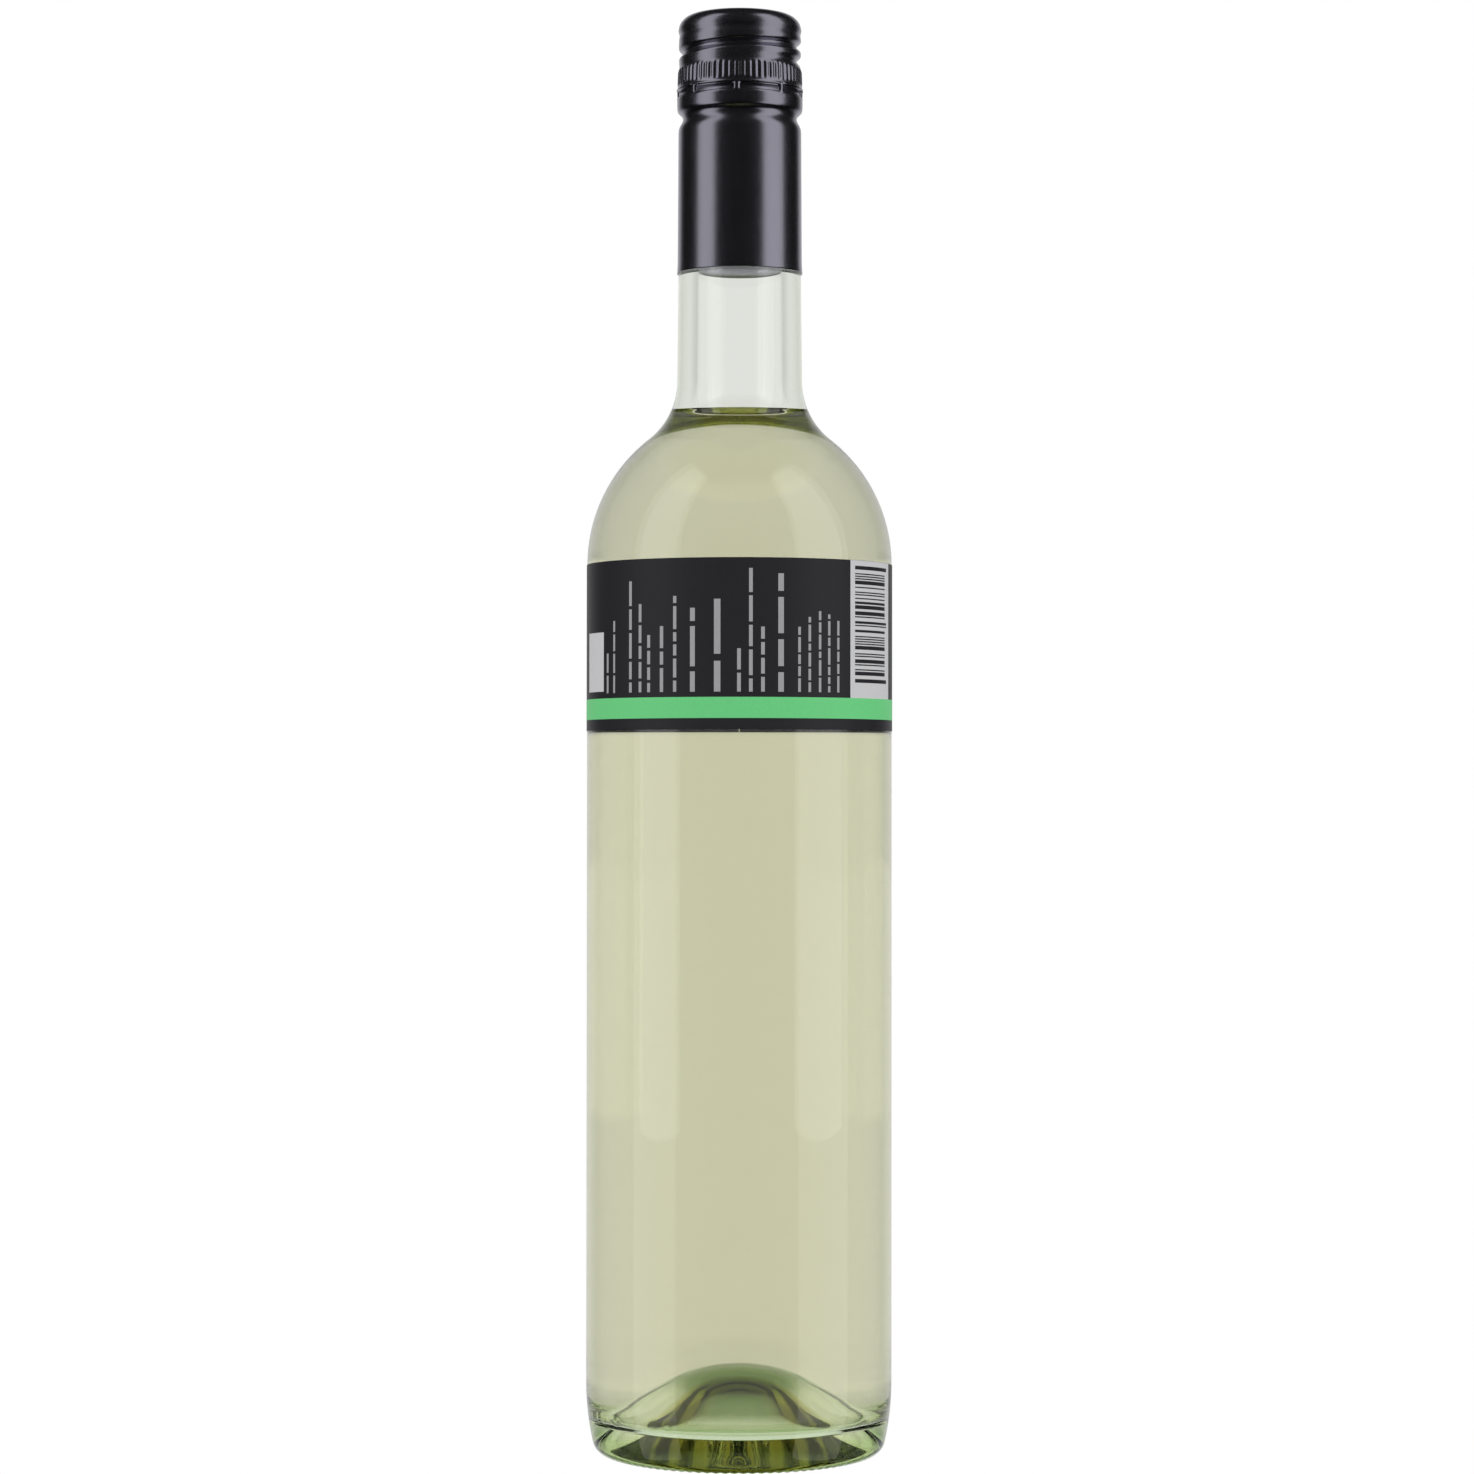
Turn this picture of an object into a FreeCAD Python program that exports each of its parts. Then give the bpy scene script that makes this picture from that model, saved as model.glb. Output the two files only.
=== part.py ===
import FreeCAD, Part
import math
import os

import Sketcher

# A wine bottle of clear glass with a long one-piece metal screw cap, closed and filled.
# Four solids: the glass, the wine in it, the cap on its mouth and the label round its body.
# Millimetres, +Z up, origin on the axis in the plane that the bottle stands on. The middle of
# the label's front faces -Y.

Vector = FreeCAD.Vector

# The driving sizes.
SIZES = {
    # glass, outside
    "body_radius": 36.3,
    "shoulder_height": 211.0,
    "shoulder_radius": 38.0,
    "neck_radius": 14.9,
    "neck_curve_radius": 18.0,
    "neck_rise": 69.6,
    "neck_taper": 0.3,
    "heel_height": 17.0,
    "heel_sweep_radius": 65.0,
    "heel_corner_radius": 3.6,
    "ring_setback": 7.6,
    "ring_lip_radius": 2.2,
    "punt_height": 19.6,
    "punt_setback": 19.3,
    # glass, inside
    "wall": 3.5,
    "base_thickness": 2.8,
    "floor_thickness": 8.0,
    "floor_corner_radius": 6.0,
    "neck_wall": 4.7,
    "bore_taper": 0.8,
    "inner_curve_radius": 22.0,
    # glass mouth, under the cap
    "mouth_lip_radius": 1.2,
    "collar_step": 0.7,
    "finish_step": 1.2,
    "finish_taper": 3.0,
    "bead_proud": 1.3,
    "bead_half_height": 1.6,
    "bead_drop": 21.2,
    # wine
    "fill_rise": 32.6,
    # cap
    "cap_length": 61.6,
    "cap_sheet": 0.3,
    "crown_thickness": 1.4,
    "cap_edge_radius": 3.7,
    "skirt_clearance": 0.2,
    "skirt_taper": 0.13,
    "skirt_flare": 0.14,
    "skirt_flare_height": 2.4,
    "lock_clearance": 0.3,
    "lock_drop": 24.7,
    "lock_half_height": 2.3,
    "band_clearance": 0.4,
    "slot_drop": 18.9,
    "slot_width": 0.25,
    "slot_undercut": 0.6,
    "slot_count": 8,
    "slot_bridge_angle": 1.4,
    "shelf_rise": 0.25,
    "knurl_drop": 17.1,
    "knurl_length": 4.5,
    "knurl_depth": 0.25,
    "knurl_count": 64,
    "thread_clearance": 0.25,
    "thread_drop": 10.7,
    "thread_floor": 0.45,
    "thread_overshoot": 0.5,
    "thread_half_height": 1.0,
    "thread_pitch": 3.5,
    "thread_turns": 1.25,
    # label
    "label_drop": 0.1,
    "label_height": 39.5,
    "label_thickness": 0.12,
    "label_seam_angle": 3.0,
}

# Sizes that follow from them, as sums.
FOLLOWING = {
    "ring_inner_radius": "body_radius - ring_setback",
    "punt_dome_radius": "body_radius - punt_setback",
    "inner_radius": "body_radius - wall",
    "inner_apex": "punt_height + base_thickness",
    "inner_dome_radius": "punt_dome_radius + base_thickness",
    "inner_shoulder_radius": "shoulder_radius - wall",
    "neck_bore_radius": "neck_radius - neck_wall",
    "bore_radius": "neck_bore_radius - bore_taper",
    "neck_top_radius": "neck_radius - neck_taper",
    "collar_radius": "neck_radius - collar_step",
    "finish_radius": "collar_radius - finish_step",
    "bead_radius": "finish_radius + bead_proud",
    "wine_level": "shoulder_height + fill_rise",
    "cap_bottom": "shoulder_height + neck_rise",
    "cap_top": "cap_bottom + cap_length",
    "mouth_height": "cap_top - crown_thickness",
    "bead_height": "cap_top - bead_drop",
    "lock_height": "cap_top - lock_drop",
    "lock_low": "lock_height - lock_half_height",
    "lock_high": "lock_height + lock_half_height",
    "slot_height": "cap_top - slot_drop",
    "slot_top": "slot_height + slot_width",
    "band_top": "slot_top + shelf_rise",
    "knurl_bottom": "cap_top - knurl_drop",
    "knurl_top": "knurl_bottom + knurl_length",
    "thread_bottom": "cap_top - thread_drop",
    "cap_bore": "collar_radius + skirt_clearance",
    "cap_radius": "cap_bore + cap_sheet",
    "skirt_bottom_radius": "cap_radius + skirt_taper",
    "skirt_flare_radius": "skirt_bottom_radius + skirt_flare",
    "flare_top": "cap_bottom + skirt_flare_height",
    "lock_bore": "finish_radius + lock_clearance",
    "lock_radius": "lock_bore + cap_sheet",
    "band_bore": "bead_radius + band_clearance",
    "band_radius": "band_bore + cap_sheet",
    "slot_inner_radius": "cap_bore - slot_undercut",
    "slot_outer_radius": "band_radius + cap_sheet",
    "cap_thread_bore": "finish_radius + thread_clearance",
    "thread_root_radius": "cap_thread_bore + thread_floor",
    "thread_outer_radius": "cap_radius + thread_overshoot",
    "label_radius": "body_radius + label_thickness",
    "label_top": "shoulder_height - label_drop",
    "label_bottom": "label_top - label_height",
}

document = FreeCAD.newDocument("wine_bottle")
sheet = document.addObject("Spreadsheet::Sheet", "Sizes")
for row, (alias, value) in enumerate(SIZES.items(), start=1):
    sheet.set("A%d" % row, alias)
    sheet.set("B%d" % row, str(value))
    sheet.setAlias("B%d" % row, alias)
document.recompute()


def terms(text):
    """Return the driving sizes that a sum of names stands for, as (sign, alias) pairs."""
    found = []
    sign = 1
    for word in text.split():
        if word in ("+", "-"):
            sign = 1 if word == "+" else -1
        elif word in FOLLOWING:
            found.extend((sign * inner_sign, alias) for inner_sign, alias in terms(FOLLOWING[word]))
        else:
            found.append((sign, word))
    return found


def size(text):
    """Return the value of a size, or of a sum of sizes."""
    return sum(sign * float(sheet.get(alias)) for sign, alias in terms(text))


def formula(text):
    """Return the expression that ties a dimension to the sheet."""
    signed = ["%s Sizes.%s" % ("+" if sign > 0 else "-", alias) for sign, alias in terms(text)]
    return "0 " + " ".join(signed)


def tangent_points(first, first_radius, second, second_radius):
    """Return where a straight line touches two circles that lie on opposite sides of it."""
    span = second - first
    lean = math.acos((first_radius + second_radius) / span.Length)
    heading = math.atan2(span.y, span.x) + lean
    normal = Vector(math.cos(heading), math.sin(heading), 0)
    return first + normal * first_radius, second - normal * second_radius


def along(start, goal, distance):
    """Return the point at a distance from start, towards goal."""
    step = goal - start
    return start + step * (distance / step.Length)


class Outline:
    """A closed outline in a body's XZ plane, drawn edge by edge with one pen."""

    def __init__(self, body, name, start):
        self.sketch = body.newObject("Sketcher::SketchObject", name)
        plane = [item for item in body.Origin.OriginFeatures if item.Role == "XZ_Plane"][0]
        self.sketch.AttachmentSupport = [(plane, "")]
        self.sketch.MapMode = "FlatFace"
        self.first = None
        self.last = None
        self.pen = start

    def join(self, edge, entry, leave, smooth):
        """Tie an edge's entry to the edge before it, and move the pen's end along."""
        if self.last is not None:
            kind = "Tangent" if smooth else "Coincident"
            self.sketch.addConstraint(Sketcher.Constraint(kind, self.last[0], self.last[1], edge, entry))
        if self.first is None:
            self.first = (edge, entry)
        self.last = (edge, leave)
        return edge

    def line(self, end, smooth=False):
        """Draw a straight edge from the pen to end."""
        edge = self.sketch.addGeometry(Part.LineSegment(self.pen, end))
        self.pen = end
        return self.join(edge, 1, 2, smooth)

    def level(self, end, smooth=False):
        """Draw a straight edge that stays level."""
        edge = self.line(end, smooth)
        self.sketch.addConstraint(Sketcher.Constraint("Horizontal", edge))
        return edge

    def upright(self, end, smooth=False):
        """Draw a straight edge that stays parallel to the axis."""
        edge = self.line(end, smooth)
        self.sketch.addConstraint(Sketcher.Constraint("Vertical", edge))
        return edge

    def arc(self, centre, end, left_turn, smooth=True):
        """Draw an arc about centre from the pen to end, turning left or right."""
        start_angle = math.atan2(self.pen.y - centre.y, self.pen.x - centre.x)
        end_angle = math.atan2(end.y - centre.y, end.x - centre.x)
        circle = Part.Circle(centre, Vector(0, 0, 1), (end - centre).Length)
        if left_turn:
            edge = self.sketch.addGeometry(Part.ArcOfCircle(circle, start_angle, end_angle))
            entry, leave = 1, 2
        else:
            edge = self.sketch.addGeometry(Part.ArcOfCircle(circle, end_angle, start_angle))
            entry, leave = 2, 1
        self.pen = end
        return self.join(edge, entry, leave, smooth)

    def close(self):
        """Tie the last edge's end to the first edge's start."""
        joint = Sketcher.Constraint("Coincident", self.last[0], self.last[1], self.first[0], self.first[1])
        self.sketch.addConstraint(joint)

    def bind(self, name, constraint, text):
        """Add a dimension and drive it with a size or a sum of sizes."""
        index = self.sketch.addConstraint(constraint)
        self.sketch.renameConstraint(index, name)
        self.sketch.setExpression(".Constraints." + name, formula(text))

    def radius(self, name, edge, text):
        """Drive an arc's radius."""
        value = self.sketch.Geometry[edge].Radius
        self.bind(name, Sketcher.Constraint("Radius", edge, value), text)

    def across(self, name, edge, point, text):
        """Drive a point's distance from the axis."""
        value = self.sketch.getPoint(edge, point).x
        self.bind(name, Sketcher.Constraint("DistanceX", -1, 1, edge, point, value), text)

    def height(self, name, edge, point, text):
        """Drive a point's height above the standing plane."""
        value = self.sketch.getPoint(edge, point).y
        self.bind(name, Sketcher.Constraint("DistanceY", -1, 1, edge, point, value), text)

    def on_axis(self, edge, point):
        """Hold a point on the axis."""
        self.sketch.addConstraint(Sketcher.Constraint("PointOnObject", edge, point, -2))

    def beside_centre(self, edge, point):
        """Hold an arc's end level with its centre, so that the arc leaves it upright."""
        self.sketch.addConstraint(Sketcher.Constraint("Horizontal", edge, 3, edge, point))

    def points(self, prefix, edge_points, places):
        """Drive the radius and the height of a row of corners."""
        for number, ((edge, point), (radius, height)) in enumerate(zip(edge_points, places), start=1):
            self.across("%s_radius_%d" % (prefix, number), edge, point, radius)
            self.height("%s_height_%d" % (prefix, number), edge, point, height)


def new_body(label):
    """Start a sub-part."""
    body = document.addObject("PartDesign::Body", label)
    body.Label = label
    return body


def turn(body, kind, name, outline, angle=360.0):
    """Turn an outline about the axis, adding or cutting material."""
    feature = body.newObject("PartDesign::" + kind, name)
    feature.Profile = outline.sketch
    feature.ReferenceAxis = (outline.sketch, ["V_Axis"])
    feature.Angle = angle
    outline.sketch.Visibility = False
    document.recompute()
    return feature


def draw_glass_outside(body):
    """Draw the outside of the glass: punt, bearing ring, heel, body, shoulder, neck and mouth."""
    dome = Vector(0, size("punt_height - punt_dome_radius"), 0)
    lip = Vector(size("ring_inner_radius"), size("ring_lip_radius"), 0)
    dome_end, lip_start = tangent_points(
        dome, size("punt_dome_radius"), lip, size("ring_lip_radius"))
    sweep_radius = size("heel_sweep_radius")
    corner_radius = size("heel_corner_radius")
    sweep = Vector(size("body_radius") - sweep_radius, size("heel_height"), 0)
    reach = sweep_radius - corner_radius
    corner = Vector(sweep.x + math.sqrt(reach ** 2 - (sweep.y - corner_radius) ** 2), corner_radius, 0)
    shoulder = Vector(size("body_radius - shoulder_radius"), size("shoulder_height"), 0)
    curve_x = size("neck_radius + neck_curve_radius")
    reach = size("shoulder_radius + neck_curve_radius")
    curve = Vector(curve_x, shoulder.y + math.sqrt(reach ** 2 - (curve_x - shoulder.x) ** 2), 0)

    outline = Outline(body, "glass_outside", Vector(0, size("punt_height"), 0))
    punt = outline.arc(dome, dome_end, left_turn=False)
    outline.line(lip_start, smooth=True)
    ring_lip = outline.arc(lip, Vector(lip.x, 0, 0), left_turn=True)
    ring = outline.level(Vector(corner.x, 0, 0), smooth=True)
    heel = outline.arc(corner, along(sweep, corner, sweep_radius), left_turn=True)
    heel_sweep = outline.arc(sweep, Vector(size("body_radius"), size("heel_height"), 0), left_turn=True)
    outline.upright(Vector(size("body_radius"), size("shoulder_height"), 0), smooth=True)
    shoulder_arc = outline.arc(shoulder, along(shoulder, curve, size("shoulder_radius")), left_turn=True)
    neck_curve = outline.arc(curve, Vector(size("neck_radius"), curve.y, 0), left_turn=False)
    neck = outline.line(Vector(size("neck_top_radius"), size("cap_bottom"), 0))
    collar_z = size("cap_bottom + finish_taper")
    collar_low = outline.line(Vector(size("collar_radius"), collar_z, 0))
    collar_top = size("lock_low - finish_taper")
    outline.upright(Vector(size("collar_radius"), collar_top, 0))
    collar_high = outline.line(Vector(size("finish_radius"), size("lock_low"), 0))
    bead_low = size("bead_height - bead_half_height")
    bead_high = size("bead_height + bead_half_height")
    under_bead = outline.upright(Vector(size("finish_radius"), bead_low, 0))
    bead_out = outline.line(Vector(size("bead_radius"), size("bead_height"), 0))
    bead_in = outline.line(Vector(size("finish_radius"), bead_high, 0))
    mouth_lip = size("mouth_lip_radius")
    mouth = size("mouth_height")
    outline.upright(Vector(size("finish_radius"), mouth - mouth_lip, 0))
    lip_centre = Vector(size("finish_radius") - mouth_lip, mouth - mouth_lip, 0)
    mouth_arc = outline.arc(lip_centre, Vector(lip_centre.x, mouth, 0), left_turn=True)
    mouth_line = outline.level(Vector(0, mouth, 0), smooth=True)
    outline.upright(Vector(0, size("punt_height"), 0))
    outline.close()

    outline.on_axis(punt, 3)
    outline.on_axis(punt, 2)
    outline.height("punt_rise", punt, 2, "punt_height")
    outline.radius("punt_dome", punt, "punt_dome_radius")
    outline.radius("ring_lip", ring_lip, "ring_lip_radius")
    outline.across("ring_inside", ring, 1, "ring_inner_radius")
    outline.sketch.addConstraint(Sketcher.Constraint("PointOnObject", ring, 1, -1))
    outline.radius("heel_corner", heel, "heel_corner_radius")
    outline.radius("heel_sweep", heel_sweep, "heel_sweep_radius")
    outline.across("body_outside", heel_sweep, 2, "body_radius")
    outline.height("heel_top", heel_sweep, 2, "heel_height")
    outline.height("shoulder_base", shoulder_arc, 1, "shoulder_height")
    outline.radius("shoulder", shoulder_arc, "shoulder_radius")
    outline.radius("neck_curve", neck_curve, "neck_curve_radius")
    outline.beside_centre(neck_curve, 1)
    outline.across("neck_outside", neck_curve, 1, "neck_radius")
    outline.points("finish", [
        (neck, 2), (collar_low, 2), (collar_high, 2), (bead_out, 2),
    ], [
        ("neck_top_radius", "cap_bottom"),
        ("collar_radius", "cap_bottom + finish_taper"),
        ("finish_radius", "lock_low"),
        ("bead_radius", "bead_height"),
    ])
    outline.height("collar_top", collar_high, 1, "lock_low - finish_taper")
    outline.height("bead_bottom", under_bead, 2, "bead_height - bead_half_height")
    outline.height("bead_top", bead_in, 2, "bead_height + bead_half_height")
    outline.across("above_bead", bead_in, 2, "finish_radius")
    outline.radius("mouth_lip", mouth_arc, "mouth_lip_radius")
    outline.height("mouth", mouth_line, 1, "mouth_height")
    return outline


def draw_inside(body, name, wine_only):
    """Draw the inside of the glass up to above the mouth, or only up to the wine's level."""
    inner_radius = size("inner_radius")
    apex = size("inner_apex")
    dome = Vector(0, apex - size("inner_dome_radius"), 0)
    corner_radius = size("floor_corner_radius")
    corner = Vector(inner_radius - corner_radius, size("floor_thickness") + corner_radius, 0)
    dome_end, corner_start = tangent_points(dome, size("inner_dome_radius"), corner, corner_radius)
    shoulder_radius = size("inner_shoulder_radius")
    shoulder = Vector(inner_radius - shoulder_radius, size("shoulder_height"), 0)
    curve_radius = size("inner_curve_radius")
    curve_x = size("neck_bore_radius + inner_curve_radius")
    reach = shoulder_radius + curve_radius
    curve = Vector(curve_x, shoulder.y + math.sqrt(reach ** 2 - (curve_x - shoulder.x) ** 2), 0)

    outline = Outline(body, name, Vector(0, apex, 0))
    punt = outline.arc(dome, dome_end, left_turn=False)
    outline.line(corner_start, smooth=True)
    floor = outline.arc(corner, Vector(inner_radius, corner.y, 0), left_turn=True)
    wall = outline.upright(Vector(inner_radius, shoulder.y, 0), smooth=True)
    shoulder_arc = outline.arc(shoulder, along(shoulder, curve, shoulder_radius), left_turn=True)
    if wine_only:
        level = size("wine_level")
        surface = Vector(curve.x - math.sqrt(curve_radius ** 2 - (curve.y - level) ** 2), level, 0)
        neck_curve = outline.arc(curve, surface, left_turn=False)
        top = outline.level(Vector(0, level, 0))
        outline.height("level", top, 1, "wine_level")
        outline.across("curve_centre", neck_curve, 3, "neck_bore_radius + inner_curve_radius")
    else:
        neck_curve = outline.arc(curve, Vector(size("neck_bore_radius"), curve.y, 0), left_turn=False)
        bore = outline.line(Vector(size("bore_radius"), size("mouth_height"), 0))
        outline.upright(Vector(size("bore_radius"), size("cap_top"), 0))
        top = outline.level(Vector(0, size("cap_top"), 0))
        outline.beside_centre(neck_curve, 1)
        outline.across("neck_bore", neck_curve, 1, "neck_bore_radius")
        outline.across("bore", bore, 2, "bore_radius")
        outline.height("mouth", bore, 2, "mouth_height")
        outline.height("clear_of_mouth", top, 1, "cap_top")
    outline.upright(Vector(0, apex, 0))
    outline.close()

    outline.on_axis(punt, 3)
    outline.on_axis(punt, 2)
    outline.height("inner_apex", punt, 2, "inner_apex")
    outline.radius("inner_dome", punt, "inner_dome_radius")
    outline.radius("floor_corner", floor, "floor_corner_radius")
    outline.height("floor_corner_top", floor, 2, "floor_thickness + floor_corner_radius")
    outline.across("inner_wall", wall, 1, "inner_radius")
    outline.height("inner_shoulder_base", shoulder_arc, 1, "shoulder_height")
    outline.radius("inner_shoulder", shoulder_arc, "inner_shoulder_radius")
    outline.radius("inner_neck_curve", neck_curve, "inner_curve_radius")
    return outline


def make_glass():
    """Turn the glass's outside and groove its inside out."""
    body = new_body("glass_bottle")
    turn(body, "Revolution", "glass_turned", draw_glass_outside(body))
    turn(body, "Groove", "glass_hollow", draw_inside(body, "glass_inside", wine_only=False))
    return body


def make_wine():
    """Fill the glass up to the wine's level."""
    body = new_body("wine")
    turn(body, "Revolution", "wine_turned", draw_inside(body, "wine_section", wine_only=True))
    return body


def draw_cap(body):
    """Draw the cap's section: flared skirt, locking groove, loose band, knurl and thread wall, top."""
    top = size("cap_top")
    seat = size("mouth_height")
    low = size("cap_bottom")
    cap_radius = size("cap_radius")
    edge_radius = size("cap_edge_radius")
    flare_top = size("flare_top")
    band_top = size("band_top")
    lock = size("lock_height")
    lock_low = size("lock_low")
    lock_high = size("lock_high")

    outline = Outline(body, "cap_section", Vector(size("skirt_flare_radius"), low, 0))
    flare = outline.line(Vector(size("skirt_bottom_radius"), flare_top, 0))
    skirt = outline.line(Vector(cap_radius, lock_low, 0))
    lock_in = outline.line(Vector(size("lock_radius"), lock, 0))
    lock_out = outline.line(Vector(size("band_radius"), lock_high, 0))
    outline.upright(Vector(size("band_radius"), band_top, 0))
    shelf = outline.line(Vector(cap_radius, size("knurl_bottom"), 0))
    outline.upright(Vector(cap_radius, top - edge_radius, 0))
    edge_centre = Vector(cap_radius - edge_radius, top - edge_radius, 0)
    edge = outline.arc(edge_centre, Vector(edge_centre.x, top, 0), left_turn=True)
    crown = outline.level(Vector(0, top, 0), smooth=True)
    outline.upright(Vector(0, seat, 0))
    seat_line = outline.level(Vector(size("cap_thread_bore"), seat, 0))
    thread_bore = outline.upright(Vector(size("cap_thread_bore"), band_top, 0))
    band_step = outline.level(Vector(size("band_bore"), band_top, 0))
    outline.upright(Vector(size("band_bore"), lock_high, 0))
    lock_inside = outline.line(Vector(size("lock_bore"), lock, 0))
    skirt_inside_top = outline.line(Vector(size("cap_bore"), lock_low, 0))
    skirt_inside = outline.line(Vector(size("skirt_bottom_radius - cap_sheet"), flare_top, 0))
    flare_inside = outline.line(Vector(size("skirt_flare_radius - cap_sheet"), low, 0))
    outline.level(Vector(size("skirt_flare_radius"), low, 0))
    outline.close()

    outline.points("skin", [
        (flare, 1), (flare, 2), (skirt, 2), (lock_in, 2), (lock_out, 2), (shelf, 2),
    ], [
        ("skirt_flare_radius", "cap_bottom"),
        ("skirt_bottom_radius", "flare_top"),
        ("cap_radius", "lock_low"),
        ("lock_radius", "lock_height"),
        ("band_radius", "lock_high"),
        ("cap_radius", "knurl_bottom"),
    ])
    outline.height("band_top", shelf, 1, "band_top")
    outline.radius("crown_edge", edge, "cap_edge_radius")
    outline.height("crown_top", crown, 1, "cap_top")
    outline.on_axis(crown, 2)
    outline.height("seat", seat_line, 1, "mouth_height")
    outline.across("thread_bore", thread_bore, 1, "cap_thread_bore")
    outline.points("lining", [
        (band_step, 2), (lock_inside, 2), (skirt_inside_top, 2), (skirt_inside, 2),
    ], [
        ("band_bore", "band_top"),
        ("lock_bore", "lock_height"),
        ("cap_bore", "lock_low"),
        ("skirt_bottom_radius - cap_sheet", "flare_top"),
    ])
    outline.height("band_foot", lock_inside, 1, "lock_high")
    outline.across("flare_bore", flare_inside, 2, "skirt_flare_radius - cap_sheet")
    return outline


def cut_thread(body):
    """Roll the screw thread's groove into the wall above the knurl."""
    outer = size("thread_outer_radius")
    middle = size("thread_bottom")
    half = size("thread_half_height")
    groove = Outline(body, "thread_groove", Vector(outer, middle - half, 0))
    lower = groove.line(Vector(size("thread_root_radius"), middle, 0))
    upper = groove.line(Vector(outer, middle + half, 0))
    groove.upright(Vector(outer, middle - half, 0))
    groove.close()
    groove.points("groove", [(lower, 1), (lower, 2)], [
        ("thread_outer_radius", "thread_bottom - thread_half_height"),
        ("thread_root_radius", "thread_bottom"),
    ])
    groove.height("groove_top", upper, 2, "thread_bottom + thread_half_height")
    helix = body.newObject("PartDesign::SubtractiveHelix", "thread")
    helix.Profile = groove.sketch
    helix.ReferenceAxis = (groove.sketch, ["V_Axis"])
    helix.Mode = "pitch-turns-angle"
    helix.setExpression("Pitch", "Sizes.thread_pitch")
    helix.setExpression("Turns", "Sizes.thread_turns")
    groove.sketch.Visibility = False
    document.recompute()


def repeat_round(body, name, feature, count):
    """Repeat a cut evenly about the axis."""
    pattern = body.newObject("PartDesign::PolarPattern", name)
    pattern.Originals = [feature]
    pattern.Axis = (feature.Profile[0], ["V_Axis"])
    pattern.Angle = 360.0
    pattern.setExpression("Occurrences", formula(count))
    body.Tip = pattern
    document.recompute()
    return pattern


def cut_slots(body):
    """Cut the slots that part the loose band from the skirt, leaving narrow bridges."""
    inside = size("slot_inner_radius")
    outside = size("slot_outer_radius")
    low = size("slot_height")
    high = size("slot_top")
    slot = Outline(body, "slot_section", Vector(inside, low, 0))
    floor = slot.level(Vector(outside, low, 0))
    slot.upright(Vector(outside, high, 0))
    roof = slot.level(Vector(inside, high, 0))
    slot.upright(Vector(inside, low, 0))
    slot.close()
    slot.points("slot", [(floor, 1), (roof, 1)], [
        ("slot_inner_radius", "slot_height"),
        ("slot_outer_radius", "slot_top"),
    ])
    cut = turn(body, "Groove", "slot", slot, angle=40.0)
    cut.setExpression("Angle", "360 / Sizes.slot_count - Sizes.slot_bridge_angle")
    document.recompute()
    repeat_round(body, "slots", cut, "slot_count")


def cut_knurl(body):
    """Roll the upright grip lines into the band under the thread."""
    inside = size("cap_radius - knurl_depth")
    low = size("knurl_bottom")
    high = size("knurl_top")
    line = Outline(body, "knurl_section", Vector(inside, low, 0))
    floor = line.level(Vector(size("band_radius"), low, 0))
    line.upright(Vector(size("band_radius"), high, 0))
    roof = line.level(Vector(inside, high, 0))
    line.upright(Vector(inside, low, 0))
    line.close()
    line.points("knurl", [(floor, 1), (roof, 1)], [
        ("cap_radius - knurl_depth", "knurl_bottom"),
        ("band_radius", "knurl_top"),
    ])
    cut = turn(body, "Groove", "knurl_line", line, angle=2.0)
    cut.setExpression("Angle", "360 / Sizes.knurl_count / 2")
    document.recompute()
    repeat_round(body, "knurl", cut, "knurl_count")


def make_cap():
    """Form the cap's shell, then cut its slots and roll its knurl and thread."""
    body = new_body("screw_cap")
    turn(body, "Revolution", "cap_shell", draw_cap(body))
    cut_slots(body)
    cut_knurl(body)
    cut_thread(body)
    return body


def make_label():
    """Wrap the label round the glass, with its seam at the back."""
    body = new_body("label")
    inside = size("body_radius")
    outside = size("label_radius")
    low = size("label_bottom")
    high = size("label_top")
    section = Outline(body, "label_section", Vector(inside, low, 0))
    foot = section.level(Vector(outside, low, 0))
    section.upright(Vector(outside, high, 0))
    head = section.level(Vector(inside, high, 0))
    section.upright(Vector(inside, low, 0))
    section.close()
    section.points("label", [(foot, 1), (head, 1)], [
        ("body_radius", "label_bottom"),
        ("label_radius", "label_top"),
    ])
    wrap = turn(body, "Revolution", "label_wrap", section, angle=350.0)
    wrap.Midplane = True
    wrap.setExpression("Angle", "360 - Sizes.label_seam_angle")
    body.Placement = FreeCAD.Placement(Vector(0, 0, 0), FreeCAD.Rotation(Vector(0, 0, 1), -90))
    document.recompute()
    return body


parts = [make_glass(), make_wine(), make_cap(), make_label()]
document.recompute()
for item in document.Objects:
    if "Invalid" in item.State or "Error" in item.State:
        raise RuntimeError("%s failed: %s" % (item.Name, item.State))
for body in parts:
    if body.Shape.isNull() or not body.Shape.isValid() or len(body.Shape.Solids) != 1:
        raise RuntimeError("%s is not one sound solid" % body.Label)
    box = body.Shape.BoundBox
    print("%-14s %8.1f cm3  faces %d  x %.2f..%.2f y %.2f..%.2f z %.2f..%.2f" % (
        body.Label, body.Shape.Volume / 1000, len(body.Shape.Faces),
        box.XMin, box.XMax, box.YMin, box.YMax, box.ZMin, box.ZMax))

os.makedirs("parts", exist_ok=True)
for body in parts:
    body.Shape.exportStep("parts/%s.step" % body.Label)
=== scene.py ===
"""A filled bottle of white wine: clear glass, wine, a black screw cap and a printed wrap."""
from __future__ import annotations

import logging
import math
import random
from collections.abc import Callable
from dataclasses import dataclass
from enum import Enum
from typing import ClassVar

import bmesh
import bpy
from mathutils import Matrix, Vector

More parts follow.
